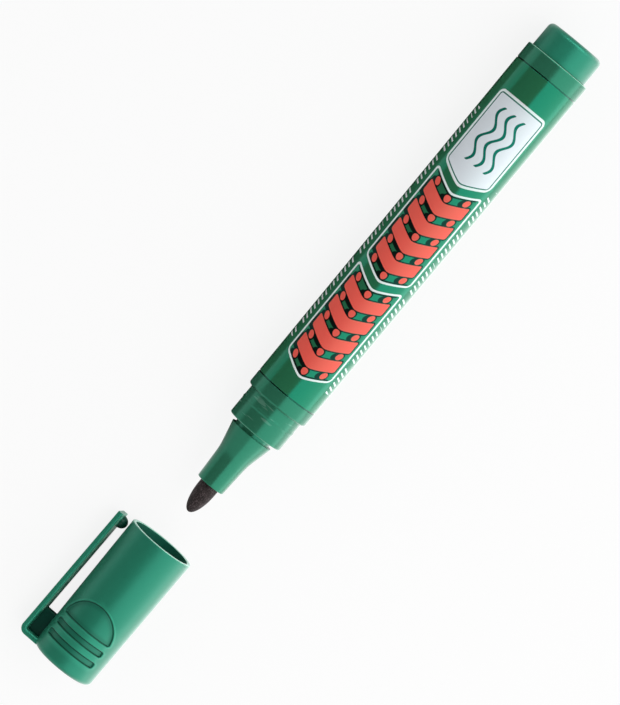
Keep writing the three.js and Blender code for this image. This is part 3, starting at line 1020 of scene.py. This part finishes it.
def clip_tone(station, y, z):
    """The blade and the arm are painted a little lighter, the blade's inner side, which the cap
    shades, much lighter and paler as painted light, and the nub dark as painted shade."""
    station = station - cap_mouth
    reach, inner = clip_side(y, z), clip_reach(station) - clip_thickness
    on_blade = station < flex_station + 1
    # Painted light: much lighter at the shaded inner face, a little lighter over the rest of the
    # blade
    rubbed_and_lit = np.interp(reach - inner, (0.05, 0.3), (inner_painted_light, face_lightening))
    tone = np.where(on_blade, rubbed_and_lit, arm_lightening)
    return np.where(on_blade & (reach < inner - 0.1), -nub_painted_shade, tone)


toned(clip, clip_tone)
# The web sits in a narrow corner, and is painted dark as shade
toned(web, lambda station, y, z: np.full(len(station), -web_painted_shade))
clip_place(flex_station + 0.6, clip_reach(flex_station), 0)
clip_place(flex_station - 1.4, clip_reach(flex_station), 0)
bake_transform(clip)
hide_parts("clip_blade")
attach(web, "cap")
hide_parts("cap_shell")

# The studio: a pale floor, a large softbox over the marker's +Y side with a brighter strip
# under it, and a low fill on the other side. Cards that only reflections see give the gloss
# its edges: dark past the softbox and on the ground where the marker shades it, and bright on
# the ground on the lit side.
middle = Vector(((cad_box[0][0] + cad_box[1][0]) / 2, axis_y, axis_z))


def facing(low, high, distance):
    """A place round the marker's axis midway between two angles in degrees, with its back to
    the axis, and half of the width that spans them."""
    low, high = np.radians((low, high))
    angle = (low + high) / 2
    away = Vector((0, np.cos(angle), np.sin(angle)))
    side = Vector((1, 0, 0))
    turn = Matrix((side, away.cross(side), away)).transposed()
    half = distance * np.tan((high - low) / 2)
    return Matrix.Translation(middle + away * distance) @ turn.to_4x4(), half


def lit(name, low, high, distance, length, glow):
    """Area light spanning two angles round the axis, as bright as a white sheet times its
    glow."""
    stand, half = facing(low, high, distance)
    lamp = bpy.data.lights.new(name, "AREA")
    lamp.shape = "RECTANGLE"
    lamp.size, lamp.size_y = length, 2 * half
    lamp.energy = glow * np.pi * lamp.size * lamp.size_y
    light = linked(name, lamp)
    light.matrix_world = stand
    light.visible_camera = False
    return light


def flat(name, half_x, half_y):
    """A rectangle in the XY plane."""
    sheet = bpy.data.meshes.new(name)
    corners = np.array([[-1, -1, 0], [1, -1, 0], [1, 1, 0], [-1, 1, 0]])
    sheet.from_pydata((corners * [half_x, half_y, 0]).tolist(), [], [[0, 1, 2, 3]])
    return linked(name, sheet)


soft_edge, soft_low = 99.8, 22
lit("softbox", soft_low, soft_edge, distance=0.6, length=1.5, glow=1.4)
lit("strip", 1, soft_low, distance=0.5, length=1.4, glow=2.4)
lit("fill", 128, 178, distance=1.5, length=3.5, glow=0.65).visible_glossy = False
end_light = lit("end_light", 55, 160, distance=0.56, length=0.3, glow=6)
end_light.location.x = -0.5
end_light.visible_diffuse = False

card_place, card_half = facing(soft_edge, 179, distance=0.62)
card_rear, card_front = -0.35, 0.28
dark_card = flat("dark_card", (card_front - card_rear) / 2, card_half)
dark_card.matrix_world = card_place @ Matrix.Translation(((card_front + card_rear) / 2, 0, 0))
shade_low, shade_high, bright_low, bright_high = -0.022, 0.008, 0.013, 0.2
card_lift, shade_fade = 0.05 * MM, 12 * MM
black = {"Base Color": (0.05, 0.05, 0.05, 1), "Roughness": 1, "IOR": 1}


def ground_card(name, rear, front, low, high):
    """A card just above the ground, between two x and between two distances from the axis."""
    card = flat(name, (front - rear) / 2, (high - low) / 2)
    card.location = (front + rear) / 2, axis_y + (high + low) / 2, card_lift
    return card


def shade_card(name, rear, front):
    """A black ground card beside the marker, and its finish, which fades out round each end so
    that nothing mirrors a hard end."""
    card = ground_card(name, rear - shade_fade / 2, front + shade_fade / 2, shade_low, shade_high)
    finish, shader, here = coated(name + "_black", black)
    past_end = here.along("X").size() - (front - rear) / 2
    feed(shader, Alpha=past_end.inside(shade_fade))
    return card, finish


barrel_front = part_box("barrel")[1][0]
cap_rear, cap_front = (corner[0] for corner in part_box("cap_shell"))
shades = dict([
    shade_card("barrel_shade", cad_box[0][0], barrel_front + 8 * MM),
    shade_card("cap_shade", cap_rear + 3 * MM, cap_front),
])
bright_card = ground_card("bright_card", -0.25, 0.25, bright_low, bright_high)
card_black = coated("card_black", black)[0]
white = (1, 1, 1, 1)
constants = {"Emission Color": white, "Emission Strength": 1.3, "IOR": 1}
card_white = coated("card_white", constants)[0]
cards = {dark_card: card_black, bright_card: card_white, **shades}
for card, material in cards.items():
    card.data.materials.append(material)
    card.visible_camera = card.visible_diffuse = False
    card.visible_shadow = card.visible_transmission = False

floor_half, seen_white = 3, 0.87
floor = flat("floor", floor_half, floor_half)
pale_floor, shader, here = coated("pale_floor", {"Roughness": 0.8, "IOR": 1.2})
patches = here.noise(6, detail=3)
feed(shader, Base_Color=patches.over((0.86, 0.86, 0.86, 1), (0.88, 0.88, 0.88, 1)))


def seen(tree):
    """1 for rays that show the set itself: from the camera, a reflection or clear plastic."""
    ray = Shade(tree)
    kinds = "Is Camera Ray", "Is Glossy Ray", "Is Transmission Ray"
    camera, glossy, clear = (ray.node("ShaderNodeLightPath", output=kind) for kind in kinds)
    return camera.larger(glossy).larger(clear)


glow = here.node("ShaderNodeEmission", {}, {"Color": white, "Strength": 1}, "Emission")
mixed = {0: seen(here.tree) * seen_white, 1: Shade(here.tree, shader.outputs["BSDF"]), 2: glow}
mixed = here.node("ShaderNodeMixShader", {}, mixed, "Shader")
here.tree.links.new(mixed.socket, here.tree.nodes["Material Output"].inputs["Surface"])
floor.data.materials.append(pale_floor)

ambient, backdrop = 0.06, 1
world = bpy.data.worlds.new("studio")
world.use_nodes = True
bpy.context.scene.world = world
sky = world.node_tree.nodes["Background"]
sky.inputs["Color"].default_value = white
level = seen(world.node_tree) * (backdrop - ambient) + ambient
world.node_tree.links.new(level.socket, sky.inputs["Strength"])

# Camera: a long lens from above, a little past upright towards the clip's side and tilted
# towards the tail, with the marker's axis running down to the left.
camera_angle, camera_tilt = np.radians(110.6), np.radians(4.3)
camera_distance, lens = 0.853, 200
axis_in_picture = np.radians(180 + 50.35)
aim_station, aim_aside = -13.4, 1.6
aim = place(aim_station, aim_aside, camera_angle + np.pi / 2)
away = Vector((
    -np.sin(camera_tilt),
    np.cos(camera_tilt) * np.cos(camera_angle),
    np.cos(camera_tilt) * np.sin(camera_angle),
))
along = Vector((1, 0, 0))
along = (along - away * along.dot(away)).normalized()
beside = away.cross(along)
right = along * np.cos(axis_in_picture) - beside * np.sin(axis_in_picture)
up = along * np.sin(axis_in_picture) + beside * np.cos(axis_in_picture)
camera = linked("camera", bpy.data.cameras.new("camera"))
camera.data.lens, camera.data.sensor_width = lens, 36
camera.data.clip_start, camera.data.clip_end = 0.05, 20
turn = Matrix((right, up, away)).transposed().to_4x4()
camera.matrix_world = Matrix.Translation(Vector(aim) + away * camera_distance) @ turn
bpy.context.scene.camera = camera
bpy.context.scene.view_settings.view_transform = "Standard"
